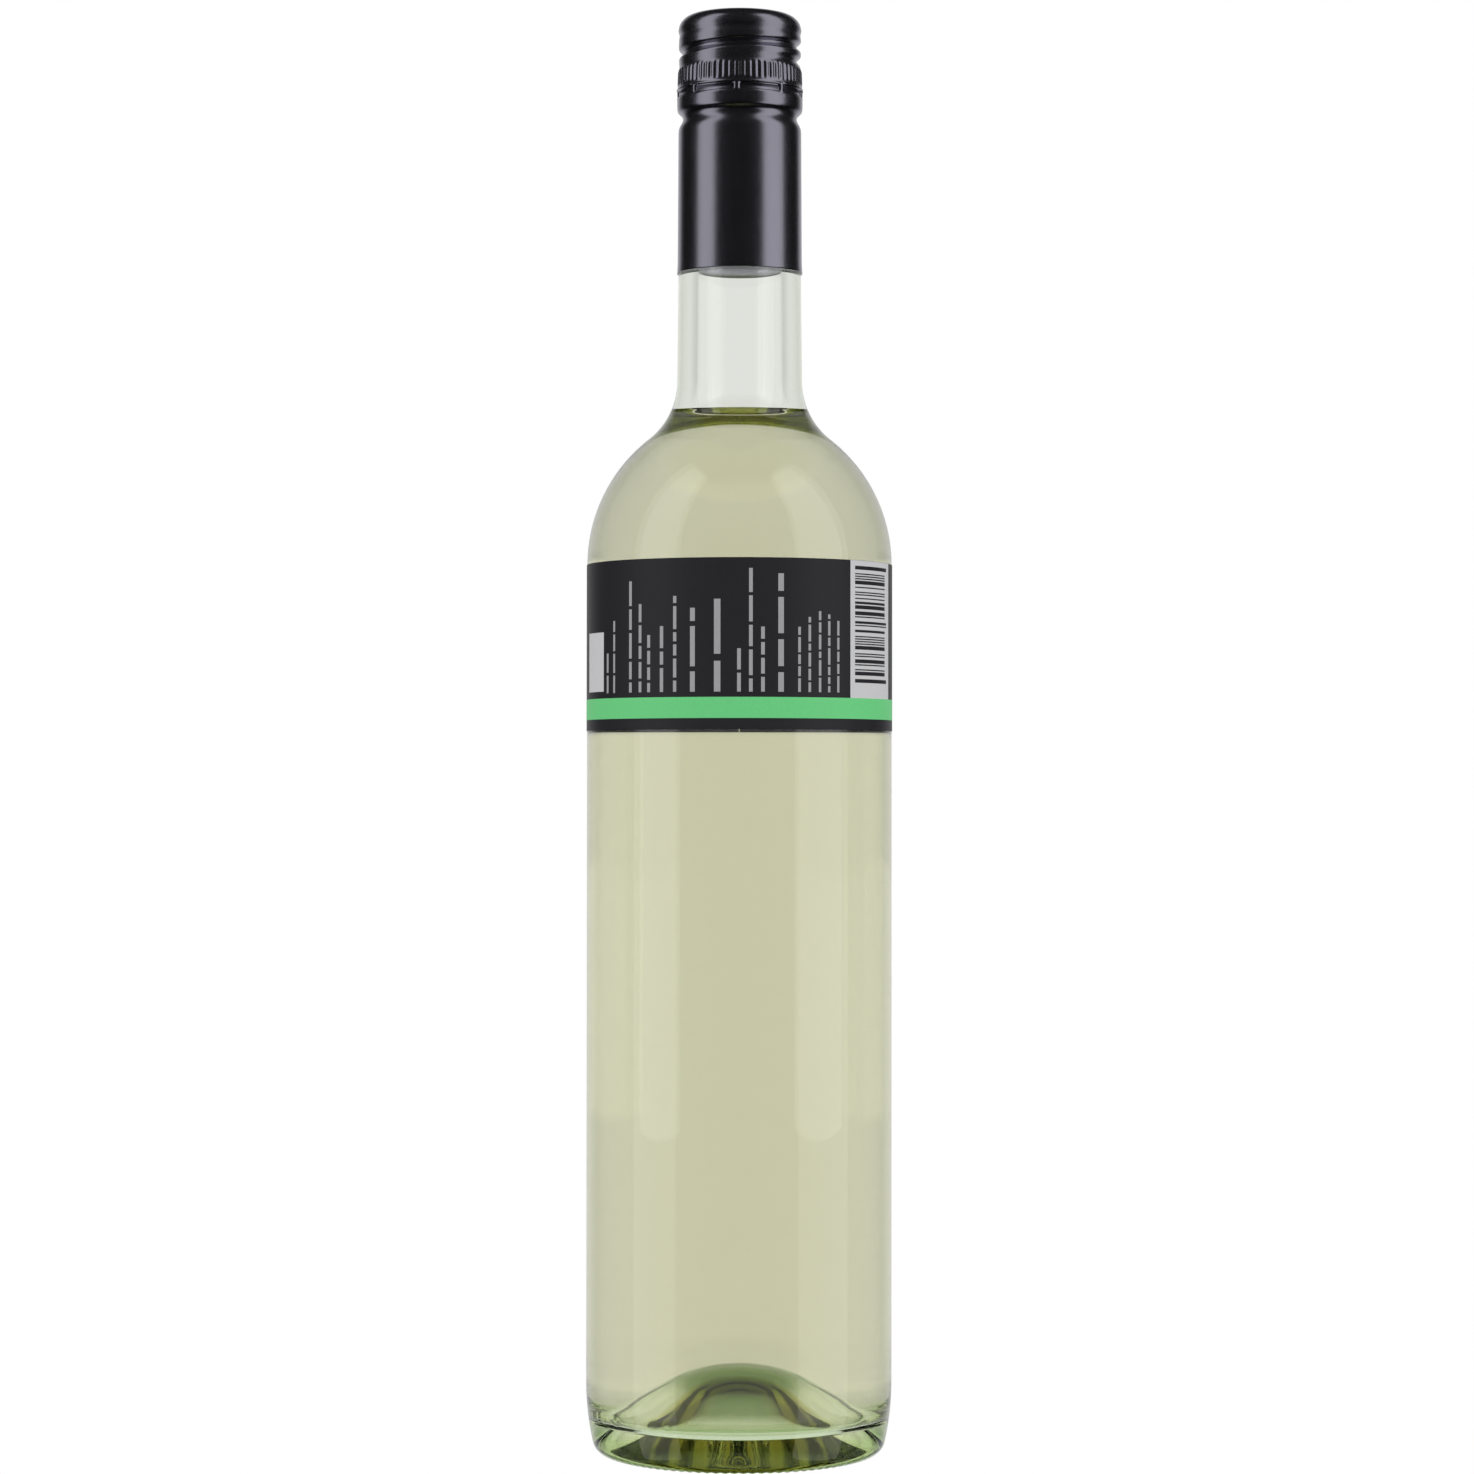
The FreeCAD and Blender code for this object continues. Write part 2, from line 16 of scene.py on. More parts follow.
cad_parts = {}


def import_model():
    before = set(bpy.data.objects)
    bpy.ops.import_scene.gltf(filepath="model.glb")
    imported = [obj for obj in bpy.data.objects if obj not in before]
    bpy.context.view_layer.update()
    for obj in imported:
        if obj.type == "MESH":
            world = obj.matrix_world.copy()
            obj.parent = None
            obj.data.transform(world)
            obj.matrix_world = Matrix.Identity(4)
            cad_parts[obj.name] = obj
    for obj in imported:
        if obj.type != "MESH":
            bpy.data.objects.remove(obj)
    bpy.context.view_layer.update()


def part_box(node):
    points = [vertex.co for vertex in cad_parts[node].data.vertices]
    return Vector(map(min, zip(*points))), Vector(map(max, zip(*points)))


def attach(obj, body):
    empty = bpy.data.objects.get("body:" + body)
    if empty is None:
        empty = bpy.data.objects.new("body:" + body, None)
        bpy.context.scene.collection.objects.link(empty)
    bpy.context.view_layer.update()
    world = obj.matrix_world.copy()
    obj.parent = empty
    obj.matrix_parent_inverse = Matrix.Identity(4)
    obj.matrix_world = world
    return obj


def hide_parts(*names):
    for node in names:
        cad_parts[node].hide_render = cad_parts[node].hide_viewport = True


LOG = logging.getLogger("wine_bottle")
MM = 0.001
FRONT = math.radians(-90.0)
BODY = "root"
MERGE_DISTANCE = 1e-6
DEGENERATE = 1e-7

Point = tuple[float, float]
Span = tuple[float, float]
Profile = tuple[tuple[float, float, int], ...]
Color = tuple[float, float, float]
Scale = tuple[float, float, float]
Field = tuple[Span, Span]
Socket = bpy.types.NodeSocket


class Slot(Enum):
    """The record's material slots."""

    GLASS = "glass"
    WINE = "wine"
    CAP = "cap_metal"
    LABEL = "label_paper"


class Mixed(Enum):
    """What a mix node mixes."""

    NUMBER = "FLOAT"
    COLOR = "RGBA"


# ---------------------------------------------------------------- outlines


def arc(centre: Point, radius: float, start: float, end: float, steps: int) -> list[Point]:
    """Space points evenly along an arc.

    Args:
        centre: The arc's centre, as radius from the axis and height.
        radius: The arc's own radius.
        start: Angle of the first point, in degrees.
        end: Angle of the last point, in degrees.
        steps: How many stretches the arc is divided into.

    Returns:
        The points, ends included.
    """
    points = []
    for step in range(steps + 1):
        angle = math.radians(start + (end - start) * step / steps)
        points.append((centre[0] + radius * math.cos(angle), centre[1] + radius * math.sin(angle)))
    return points


def run(start: Point, end: Point, steps: int) -> list[Point]:
    """Space points evenly along a straight stretch.

    Args:
        start: The first point.
        end: The last point.
        steps: How many stretches the line is divided into.

    Returns:
        The points, without the first.
    """
    across = end[0] - start[0]
    up = end[1] - start[1]
    return [
        (start[0] + across * step / steps, start[1] + up * step / steps)
        for step in range(1, steps + 1)
    ]


def corner_run(start: Point, stretches: Profile) -> list[Point]:
    """Space points along one straight stretch after another.

    Args:
        start: The first point.
        stretches: Each stretch's end, as radius and height, and how many steps it has.

    Returns:
        The points, without the first.
    """
    points = [start]
    for radius, height, steps in stretches:
        points += run(points[-1], (radius, height), steps)
    return points[1:]


def cross_tangent(
    first: Point, first_radius: float, second: Point, second_radius: float,
) -> float:
    """Find the straight line that passes between two circles and touches both.

    Args:
        first: Centre of the first circle.
        first_radius: Its radius.
        second: Centre of the second circle.
        second_radius: Its radius.

    Returns:
        The angle of the line's normal, in degrees, pointing from the first circle.
    """
    span = math.dist(first, second)
    heading = math.atan2(second[1] - first[1], second[0] - first[0])
    return math.degrees(heading + math.acos((first_radius + second_radius) / span))


def angle_to(start: Point, goal: Point) -> float:
    """Return the direction from one point to another, in degrees."""
    return math.degrees(math.atan2(goal[1] - start[1], goal[0] - start[0]))


def spin_outline(
    name: str, outline: list[Point], segments: int, loop: bool = True,
) -> bpy.types.Object:
    """Turn an outline once round the axis into a closed mesh.

    Args:
        name: The new object's name.
        outline: Points as radius and height, in metres.
        segments: How many steps the turn is divided into.
        loop: Whether the last point joins the first again, as on a ring.

    Returns:
        The new object, linked to the scene, with its normals outward.
    """
    mesh = bmesh.new()
    points = [mesh.verts.new((radius, 0.0, height)) for radius, height in outline]
    pairs = list(zip(points, points[1:]))
    if loop:
        pairs.append((points[-1], points[0]))
    edges = [mesh.edges.new(pair) for pair in pairs]
    bmesh.ops.spin(
        mesh, geom=points + edges, cent=(0, 0, 0), axis=(0, 0, 1), angle=math.tau,
        steps=segments, use_merge=True, use_duplicate=False,
    )
    bmesh.ops.remove_doubles(mesh, verts=mesh.verts, dist=MERGE_DISTANCE)
    bmesh.ops.dissolve_degenerate(mesh, dist=DEGENERATE, edges=mesh.edges)
    bmesh.ops.recalc_face_normals(mesh, faces=mesh.faces)
    return finish_mesh(name, mesh)


def finish_mesh(name: str, mesh: bmesh.types.BMesh, smooth: bool = True) -> bpy.types.Object:
    """Write a bmesh into a new object at the origin.

    Args:
        name: The new object's name.
        mesh: The shape, which is freed.
        smooth: Whether its faces are shaded smooth.

    Returns:
        The new object, linked to the scene.
    """
    data = bpy.data.meshes.new(name)
    mesh.to_mesh(data)
    mesh.free()
    data.polygons.foreach_set("use_smooth", [smooth] * len(data.polygons))
    piece = bpy.data.objects.new(name, data)
    bpy.context.scene.collection.objects.link(piece)
    return piece


def move_points(
    piece: bpy.types.Object, shift: Callable[[float, float, float], Point],
) -> None:
    """Move a turned piece's points by a rule in round coordinates.

    Args:
        piece: The piece to change.
        shift: Takes a point's radius, angle and height, and returns its new radius and height.
    """
    for vertex in piece.data.vertices:
        radius = math.hypot(vertex.co.x, vertex.co.y)
        if radius < DEGENERATE:
            continue
        angle = math.atan2(vertex.co.y, vertex.co.x)
        new_radius, new_height = shift(radius, angle, vertex.co.z)
        vertex.co.x *= new_radius / radius
        vertex.co.y *= new_radius / radius
        vertex.co.z = new_height


def unit(value: float) -> float:
    """Return a number held between 0 and 1."""
    return min(1.0, max(0.0, value))


def hump(distance: float, half_width: float) -> float:
    """Shape a smooth bump.

    Args:
        distance: How far from the bump's middle the place is.
        half_width: How far the bump reaches.

    Returns:
        The bump's height there, 1 in the middle and 0 beyond its reach.
    """
    if abs(distance) >= half_width:
        return 0.0
    return 0.5 + 0.5 * math.cos(math.pi * distance / half_width)


def turn_between(first: float, second: float) -> float:
    """Return the shortest signed turn from one angle to another, in radians."""
    return (second - first + math.pi) % math.tau - math.pi


# ---------------------------------------------------------------- finishes


class NodeKit:
    """Short hand for filling one node tree."""

    def __init__(self, owner: bpy.types.Material | bpy.types.World, output: str) -> None:
        """Empty a material's or a world's node tree and add its output node.

        Args:
            owner: The material or the world.
            output: The output node's type.
        """
        owner.use_nodes = True
        self.tree = owner.node_tree
        self.tree.nodes.clear()
        self.output = self.add(output)

    def add(self, kind: str, **values: object) -> bpy.types.Node:
        """Add a node and set its properties or its inputs.

        Args:
            kind: The node's type.
            values: Property names, or input names with underscores for spaces.

        Returns:
            The new node.
        """
        node = self.tree.nodes.new(kind)
        for key, value in values.items():
            socket = key.replace("_", " ")
            if socket in node.inputs:
                node.inputs[socket].default_value = value
            else:
                setattr(node, key, value)
        return node

    def link(self, source: Socket, target: Socket) -> None:
        """Join two sockets."""
        self.tree.links.new(source, target)

    def maths(self, operation: str, *values: Socket) -> Socket:
        """Work out one number from others.

        Args:
            operation: What is done with them.
            values: The numbers, in order.

        Returns:
            The result.
        """
        node = self.add("ShaderNodeMath", operation=operation)
        for value, target in zip(values, node.inputs):
            self.link(value, target)
        return node.outputs["Value"]

    def mix(
        self, share: Socket, first: Socket | Color | float, second: Socket | Color | float,
        kind: Mixed = Mixed.NUMBER,
    ) -> Socket:
        """Mix two numbers or two colours.

        Args:
            share: How much of the second there is, from 0 to 1.
            first: The first number or colour, or the socket that it comes from.
            second: The second one.
            kind: Whether they are numbers or colours.

        Returns:
            The mixed number or colour.
        """
        node = self.add("ShaderNodeMix", data_type=kind.value)
        for value, target in ((first, node.inputs["A"]), (second, node.inputs["B"])):
            if isinstance(value, Socket):
                self.link(value, target)
            else:
                target.default_value = (*value, 1.0) if kind is Mixed.COLOR else value
        self.link(share, node.inputs["Factor"])
        return node.outputs["Result"]

    def object_pattern(self, scale: Scale) -> Socket:
        """Place a pattern on the piece itself.

        Args:
            scale: How fine the pattern is along each axis.

        Returns:
            The scaled object coordinates.
        """
        place = self.add("ShaderNodeTexCoord")
        mapping = self.add("ShaderNodeMapping", Scale=scale)
        self.link(place.outputs["Object"], mapping.inputs["Vector"])
        return mapping.outputs["Vector"]

    def noise(self, scale: Scale, detail: float) -> Socket:
        """Make a noise on object coordinates.

        Args:
            scale: How fine it is along each axis.
            detail: How many finer layers it has.

        Returns:
            The noise, from 0 to 1.
        """
        noise = self.add("ShaderNodeTexNoise", Scale=1.0, Detail=detail, Roughness=0.55)
        self.link(self.object_pattern(scale), noise.inputs["Vector"])
        return noise.outputs["Fac"]

    def bump(self, height: Socket, strength: float, distance: float) -> Socket:
        """Turn a height into a normal.

        Args:
            height: The height, from 0 to 1.
            strength: How much of it counts.
            distance: How high 1 stands.

        Returns:
            The normal.
        """
        bump = self.add("ShaderNodeBump", Strength=strength, Distance=distance)
        self.link(height, bump.inputs["Height"])
        return bump.outputs["Normal"]

    def ramp(self, value: Socket, low: float, high: float, **limits: object) -> Socket:
        """Stretch a number into a range.

        Args:
            value: The number.
            low: What it becomes at its lower limit.
            high: What it becomes at its upper limit.
            limits: The limits, when they aren't 0 and 1, and the kind of ramp.

        Returns:
            The new number.
        """
        spread = self.add("ShaderNodeMapRange", To_Min=low, To_Max=high, **limits)
        self.link(value, spread.inputs["Value"])
        return spread.outputs["Result"]

    def soft_step(
        self, value: Socket, start: float, end: float, low: float = 0.0, high: float = 1.0,
    ) -> Socket:
        """Stretch a number into a range with soft ends.

        Args:
            value: The number.
            start: Its value where the result is low.
            end: Its value where the result is high.
            low: The result before the start.
            high: The result past the end.

        Returns:
            The new number.
        """
        limits = {"interpolation_type": "SMOOTHSTEP", "From_Min": start, "From_Max": end}
        return self.ramp(value, low, high, **limits)


class MaterialKit(NodeKit):
    """Short hand for building one material."""

    def __init__(self, name: str) -> None:
        """Start an empty node material."""
        self.material = bpy.data.materials.new(name)
        super().__init__(self.material, "ShaderNodeOutputMaterial")

    def uneven(self, color: Color, spread: Span, pattern: Socket) -> Socket:
        """Return a colour that a pattern makes darker and lighter.

        Args:
            color: The plain colour.
            spread: What the colour is multiplied by at the pattern's two ends.
            pattern: The pattern.

        Returns:
            The uneven colour.
        """
        low, high = (tuple(min(1.0, share * part) for part in color) for share in spread)
        return self.mix(pattern, low, high, Mixed.COLOR)


@dataclass(frozen=True)
class PaintedBaseShade:
    """The tints on the glass at a bottle's foot, and where each begins and is full: partly the
    green of thick glass, mostly painted shade for the dark arcs seen there.
    """

    floor_painted_shade: Color
    dome_painted_shade: Color
    heel_painted_shade: Color
    floor_reach: Span
    floor_top: Span
    heel_top: Span
    dome_top: Span

    def color(self, kit: NodeKit) -> Socket:
        """Return the glass's colour, white everywhere but at the base, where painted shade darkens
        it.

        Args:
            kit: The material that the nodes are added to.

        Returns:
            The colour.
        """
        place = kit.add("ShaderNodeTexCoord")
        flat = kit.add("ShaderNodeVectorMath", operation="MULTIPLY")
        flat.inputs[1].default_value = (1, 1, 0)
        kit.link(place.outputs["Object"], flat.inputs[0])
        out = kit.add("ShaderNodeVectorMath", operation="LENGTH")
        kit.link(flat.outputs["Vector"], out.inputs[0])
        axes = kit.add("ShaderNodeSeparateXYZ")
        kit.link(place.outputs["Object"], axes.inputs["Vector"])
        height = axes.outputs["Z"]
        reach = kit.soft_step(out.outputs["Value"], *self.floor_reach)
        floor = kit.maths("MULTIPLY", reach, kit.soft_step(height, *self.floor_top))
        above = kit.ramp(height, 0.0, 1.0, From_Min=self.dome_top[0], From_Max=self.dome_top[1])
        dome = kit.maths("MULTIPLY", above, floor)
        heel_shade_mask = kit.soft_step(height, *self.heel_top)
        # painted shade: darker green tints over the floor, the punt's dome and the heel, in the
        # colour itself
        color = kit.mix(floor, (1.0, 1.0, 1.0), self.floor_painted_shade, Mixed.COLOR)
        color = kit.mix(dome, color, self.dome_painted_shade, Mixed.COLOR)
        return kit.mix(heel_shade_mask, color, self.heel_painted_shade, Mixed.COLOR)


@dataclass(frozen=True)
class ClearFinish:
    """Something clear with a tint that grows with its thickness, and painted shade at its foot
    when given.
    """

    name: str
    ior: float
    tint: Color
    density: float
    # painted shade at the foot, when given
    base: PaintedBaseShade | None = None

    def build(self) -> bpy.types.Material:
        """Make the material.

        Returns:
            The material.
        """
        kit = MaterialKit(self.name)
        shader = kit.add(
            "ShaderNodeBsdfPrincipled", Base_Color=(1, 1, 1, 1), Roughness=0.0, IOR=self.ior,
            Transmission_Weight=1.0,
        )
        depth = kit.add(
            "ShaderNodeVolumeAbsorption", Color=(*self.tint, 1.0), Density=self.density)
        # painted shade goes into the surface colour at the foot
        if self.base is not None:
            kit.link(self.base.color(kit), shader.inputs["Base Color"])
        kit.link(shader.outputs["BSDF"], kit.output.inputs["Surface"])
        kit.link(depth.outputs["Volume"], kit.output.inputs["Volume"])
        return kit.material


@dataclass(frozen=True)
class CapFinish:
    """Satin black lacquer over metal, with faint handling marks."""

    name: str
    color: Color
    roughness: float
    shade_scale: Scale = (60.0, 60.0, 12.0)
    shade_detail: float = 3.0
    shade_spread: Span = (0.85, 1.1)
    grain_scale: Scale = (900.0, 900.0, 250.0)
    grain_detail: float = 4.0
    grain_spread: Span = (-0.04, 0.05)
    grain_strength: float = 0.015
    grain_depth: float = 0.1 * MM

    def build(self) -> bpy.types.Material:
        """Make the material.

        Returns:
            The material.
        """
        kit = MaterialKit(self.name)
        shader = kit.add("ShaderNodeBsdfPrincipled", Metallic=1.0)
        shade = kit.noise(self.shade_scale, self.shade_detail)
        kit.link(kit.uneven(self.color, self.shade_spread, shade), shader.inputs["Base Color"])
        grain = kit.noise(self.grain_scale, self.grain_detail)
        low, high = (self.roughness + part for part in self.grain_spread)
        kit.link(kit.ramp(grain, low, high), shader.inputs["Roughness"])
        normal = kit.bump(grain, self.grain_strength, self.grain_depth)
        kit.link(normal, shader.inputs["Normal"])
        kit.link(shader.outputs["BSDF"], kit.output.inputs["Surface"])
        return kit.material


@dataclass(frozen=True)
class PrintFinish:
    """Printed coated paper: a slightly uneven ink with a fine paper grain under it."""

    name: str
    color: Color
    roughness: float
    unevenness: float = 0.06
    gloss: float = 0.22
    fleck_scale: Scale = (1400.0, 1400.0, 1400.0)
    fleck_detail: float = 3.0
    rough_spread: float = 0.05
    fibre_scale: Scale = (500.0, 500.0, 900.0)
    fibre_detail: float = 4.0
    fibre_strength: float = 0.15
    fibre_depth: float = 0.1 * MM

    def build(self) -> bpy.types.Material:
        """Make the material.

        Returns:
            The material.
        """
        kit = MaterialKit(self.name)
        shader = kit.add("ShaderNodeBsdfPrincipled", Specular_IOR_Level=self.gloss)
        fleck = kit.noise(self.fleck_scale, self.fleck_detail)
        spread = (1.0 - self.unevenness, 1.0 + self.unevenness)
        kit.link(kit.uneven(self.color, spread, fleck), shader.inputs["Base Color"])
        rough = kit.ramp(
            fleck, self.roughness - self.rough_spread, self.roughness + self.rough_spread)
        kit.link(rough, shader.inputs["Roughness"])
        fibre = kit.noise(self.fibre_scale, self.fibre_detail)
        normal = kit.bump(fibre, self.fibre_strength, self.fibre_depth)
        kit.link(normal, shader.inputs["Normal"])
        kit.link(shader.outputs["BSDF"], kit.output.inputs["Surface"])
        return kit.material


# painted shade at the glass's foot: darkest over the punt's dome, lighter over the floor and heel
PAINTED_BASE_SHADE = PaintedBaseShade(
    floor_painted_shade=(0.86, 0.92, 0.77), dome_painted_shade=(0.24, 0.36, 0.15), heel_painted_shade=(0.62, 0.80, 0.46),
    floor_reach=(33.0 * MM, 31.0 * MM), floor_top=(25.0 * MM, 23.0 * MM),
    heel_top=(9.0 * MM, 5.0 * MM), dome_top=(16.0 * MM, 19.2 * MM),
)
GLASS_FINISH = ClearFinish("clear_glass", 1.52, (0.50, 0.68, 0.16), 12.0, PAINTED_BASE_SHADE)
WINE_FINISH = ClearFinish("white_wine", 1.343, (0.64, 0.61, 0.14), 11.4)
CAP_FINISH = CapFinish("black_lacquered_metal", (0.38, 0.37, 0.44), 0.24)
LABEL_BLACK = PrintFinish("label_black_ink", (0.023, 0.022, 0.027), 0.42)
LABEL_GREEN = PrintFinish("label_green_ink", (0.15, 0.65, 0.23), 0.45)
LABEL_WHITE = PrintFinish("label_bare_white", (0.6, 0.6, 0.61), 0.5, 0.03)
LABEL_GREY = PrintFinish("label_pale_ink", (0.36, 0.36, 0.37), 0.5)


def dress(piece: bpy.types.Object, material: bpy.types.Material) -> None:
    """Give a piece its material and its body.

    Args:
        piece: The finished piece.
        material: What it is made of.
    """
    piece.data.materials.clear()
    piece.data.materials.append(material)
    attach(piece, BODY)
    LOG.info("%s: %d faces", piece.name, len(piece.data.polygons))


# ---------------------------------------------------------------- glass and wine


@dataclass
class GlassSizes:
    """The glass's own sizes, in metres. Heights and outer sizes come from the frame."""

    body_radius: float
    cap_bottom: float
    mouth: float
    shoulder_height: float = 211.0 * MM
    shoulder_radius: float = 38.0 * MM
    neck_radius: float = 14.9 * MM
    neck_top_radius: float = 14.6 * MM
    neck_curve_radius: float = 18.0 * MM
    heel_height: float = 17.0 * MM
    heel_sweep_radius: float = 65.0 * MM
    heel_corner_radius: float = 3.6 * MM
    ring_inner_radius: float = 28.7 * MM
    ring_lip_radius: float = 2.2 * MM
    punt_height: float = 19.6 * MM
    punt_dome_radius: float = 17.0 * MM
    wall: float = 3.5 * MM
    base_thickness: float = 2.8 * MM
    floor_thickness: float = 8.0 * MM
    floor_corner_radius: float = 6.0 * MM
    bore_radius: float = 9.4 * MM
    neck_bore_radius: float = 10.2 * MM
    inner_curve_radius: float = 22.0 * MM
    finish_radius: float = 13.0 * MM
    finish_rise: float = 34.0 * MM
    collar_radius: float = 14.2 * MM
    collar_foot_rise: float = 3.0 * MM
    collar_top_rise: float = 31.0 * MM
    rim_radius: float = 1.2 * MM

    @property
    def inner_radius(self) -> float:
        """Return the body's inner radius."""
        return self.body_radius - self.wall

    @property
    def inner_apex(self) -> float:
        """Return the height of the raised floor's middle."""
        return self.punt_height + self.base_thickness

    @property
    def inner_dome_radius(self) -> float:
        """Return the radius of the raised floor's dome."""
        return self.punt_dome_radius + self.base_thickness

    def neck_curve_centre(self, radius: float, shoulder: Point, reach: float) -> Point:
        """Find the centre of the hollow curve that joins the shoulder to the neck.

        Args:
            radius: The centre's distance from the axis.
            shoulder: The shoulder arc's centre.
            reach: The two arcs' radii added.

        Returns:
            The centre, as radius and height.
        """
        return radius, shoulder[1] + math.sqrt(reach ** 2 - (radius - shoulder[0]) ** 2)

    def outside(self) -> list[Point]:
        """Draw the outside, from under the raised base up to the mouth's rim.

        Returns:
            The points, as radius and height.
        """
        dome = (0.0, self.punt_height - self.punt_dome_radius)
        lip = (self.ring_inner_radius, self.ring_lip_radius)
        lean = cross_tangent(dome, self.punt_dome_radius, lip, self.ring_lip_radius)
        points = arc(dome, self.punt_dome_radius, 90.0, lean, steps=20)
        lip_arc = arc(lip, self.ring_lip_radius, lean - 180.0, -90.0, steps=6)
        points += run(points[-1], lip_arc[0], steps=8) + lip_arc[1:]
        sweep = (self.body_radius - self.heel_sweep_radius, self.heel_height)
        reach = self.heel_sweep_radius - self.heel_corner_radius
        drop = sweep[1] - self.heel_corner_radius
        corner = (sweep[0] + math.sqrt(reach ** 2 - drop ** 2), self.heel_corner_radius)
        turn = angle_to(sweep, corner)
        points += run(points[-1], (corner[0], 0.0), steps=4)
        points += arc(corner, self.heel_corner_radius, -90.0, turn, steps=12)[1:]
        points += arc(sweep, self.heel_sweep_radius, turn, 0.0, steps=22)[1:]
        points += run(points[-1], (self.body_radius, self.shoulder_height), steps=14)
        shoulder = (self.body_radius - self.shoulder_radius, self.shoulder_height)
        curve = self.neck_curve_centre(
            self.neck_radius + self.neck_curve_radius, shoulder,
            self.shoulder_radius + self.neck_curve_radius)
        turn = angle_to(shoulder, curve)
        points += arc(shoulder, self.shoulder_radius, 0.0, turn, steps=24)[1:]
        points += arc(curve, self.neck_curve_radius, turn + 180.0, 180.0, steps=18)[1:]
        rim = (self.finish_radius - self.rim_radius, self.mouth - self.rim_radius)
        points += corner_run(points[-1], (
            (self.neck_top_radius, self.cap_bottom, 4),
            (self.collar_radius, self.cap_bottom + self.collar_foot_rise, 2),
            (self.collar_radius, self.cap_bottom + self.collar_top_rise, 3),
            (self.finish_radius, self.cap_bottom + self.finish_rise, 2),
            (self.finish_radius, rim[1], 3),
        ))
        points += arc(rim, self.rim_radius, 0.0, 90.0, steps=4)[1:]
        return points

    def inside(self, offset: float = 0.0) -> list[Point]:
        """Return the inside's points from the mouth down to the raised floor's middle.

        Args:
            offset: How far the outline is moved out into the glass.

        Returns:
            The points, as radius and height.
        """
        inner_radius = self.inner_radius + offset
        dome = (0.0, self.inner_apex - self.inner_dome_radius)
        dome_radius = self.inner_dome_radius - offset
        corner_radius = self.floor_corner_radius + offset
        corner = (
            self.inner_radius - self.floor_corner_radius,
            self.floor_thickness + self.floor_corner_radius)
        shoulder_radius = self.shoulder_radius - self.wall
        shoulder = (self.inner_radius - shoulder_radius, self.shoulder_height)
        curve = self.neck_curve_centre(
            self.neck_bore_radius + self.inner_curve_radius, shoulder,
            shoulder_radius + self.inner_curve_radius)
        turn = angle_to(shoulder, curve)
        lean = cross_tangent(dome, dome_radius, corner, corner_radius)
        curve_radius = self.inner_curve_radius - offset
        curve_arc = arc(curve, curve_radius, 180.0, turn + 180.0, steps=22)
        bore_top = (self.bore_radius + offset, self.mouth)
        points = [bore_top] + run(bore_top, curve_arc[0], steps=6) + curve_arc[1:]
        points += arc(shoulder, shoulder_radius + offset, turn, 0.0, steps=24)[1:]
        points += run(points[-1], (inner_radius, corner[1]), steps=14)
        points += arc(corner, corner_radius, 0.0, lean - 180.0, steps=12)[1:]
        dome_arc = arc(dome, dome_radius, lean, 90.0, steps=24)
        points += run(points[-1], dome_arc[0], steps=10) + dome_arc[1:]
        return points


@dataclass
class GlassBottle:
    """The moulded glass: a thick shell with a stippled standing ring and small mould marks."""

    sizes: GlassSizes
    segments: int = 384
    stipple_count: int = 96
    stipple_depth: float = 0.28 * MM
    stipple_height: float = 1.3 * MM
    stipple_inset: float = 3.0 * MM
    mark_height: float = 10.5 * MM
    mark_depth: float = 0.1 * MM
    mark_half_width: float = 0.9 * MM
    mark_half_height: float = 1.7 * MM
    mark_skin: float = 1.6 * MM
    mark_turns: tuple[float, ...] = (-72.0, -66.0, -61.0, -52.0, -41.0, -33.0, -27.0)

    def build(self) -> bpy.types.Object:
        """Turn the shell, then press the stipple and the mould's marks into it.

        Returns:
            The piece.
        """
        outline = self.sizes.outside() + self.sizes.inside()
        piece = spin_outline("bottle_glass", outline, self.segments, loop=False)
        move_points(piece, self.press)
        return piece

    def press(self, radius: float, angle: float, height: float) -> Point:
        """Press the mould's small marks into one point.

        Args:
            radius: The point's distance from the axis.
            angle: Its angle round the axis, in radians.
            height: Its height.

        Returns:
            The new radius and height.
        """
        sizes = self.sizes
        ring_middle = (sizes.ring_inner_radius + sizes.body_radius) / 2
        if height < self.stipple_height and radius > ring_middle - self.stipple_inset:
            wave = 0.5 + 0.5 * math.cos(self.stipple_count * angle)
            fade = max(0.0, 1.0 - height / self.stipple_height)
            height += self.stipple_depth * wave * fade
        rise = hump(height - self.mark_height, self.mark_half_height)
        if rise > 0.0 and radius > sizes.body_radius - self.mark_skin:
            for turn in self.mark_turns:
                away = turn_between(angle, FRONT + math.radians(turn)) * radius
                radius += self.mark_depth * hump(away, self.mark_half_width) * rise
        return radius, height

    def dress(self, piece: bpy.types.Object) -> None:
        """Give the shell its clear finish in place of the plain solid."""
        dress(piece, GLASS_FINISH.build())
        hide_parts("glass_bottle")


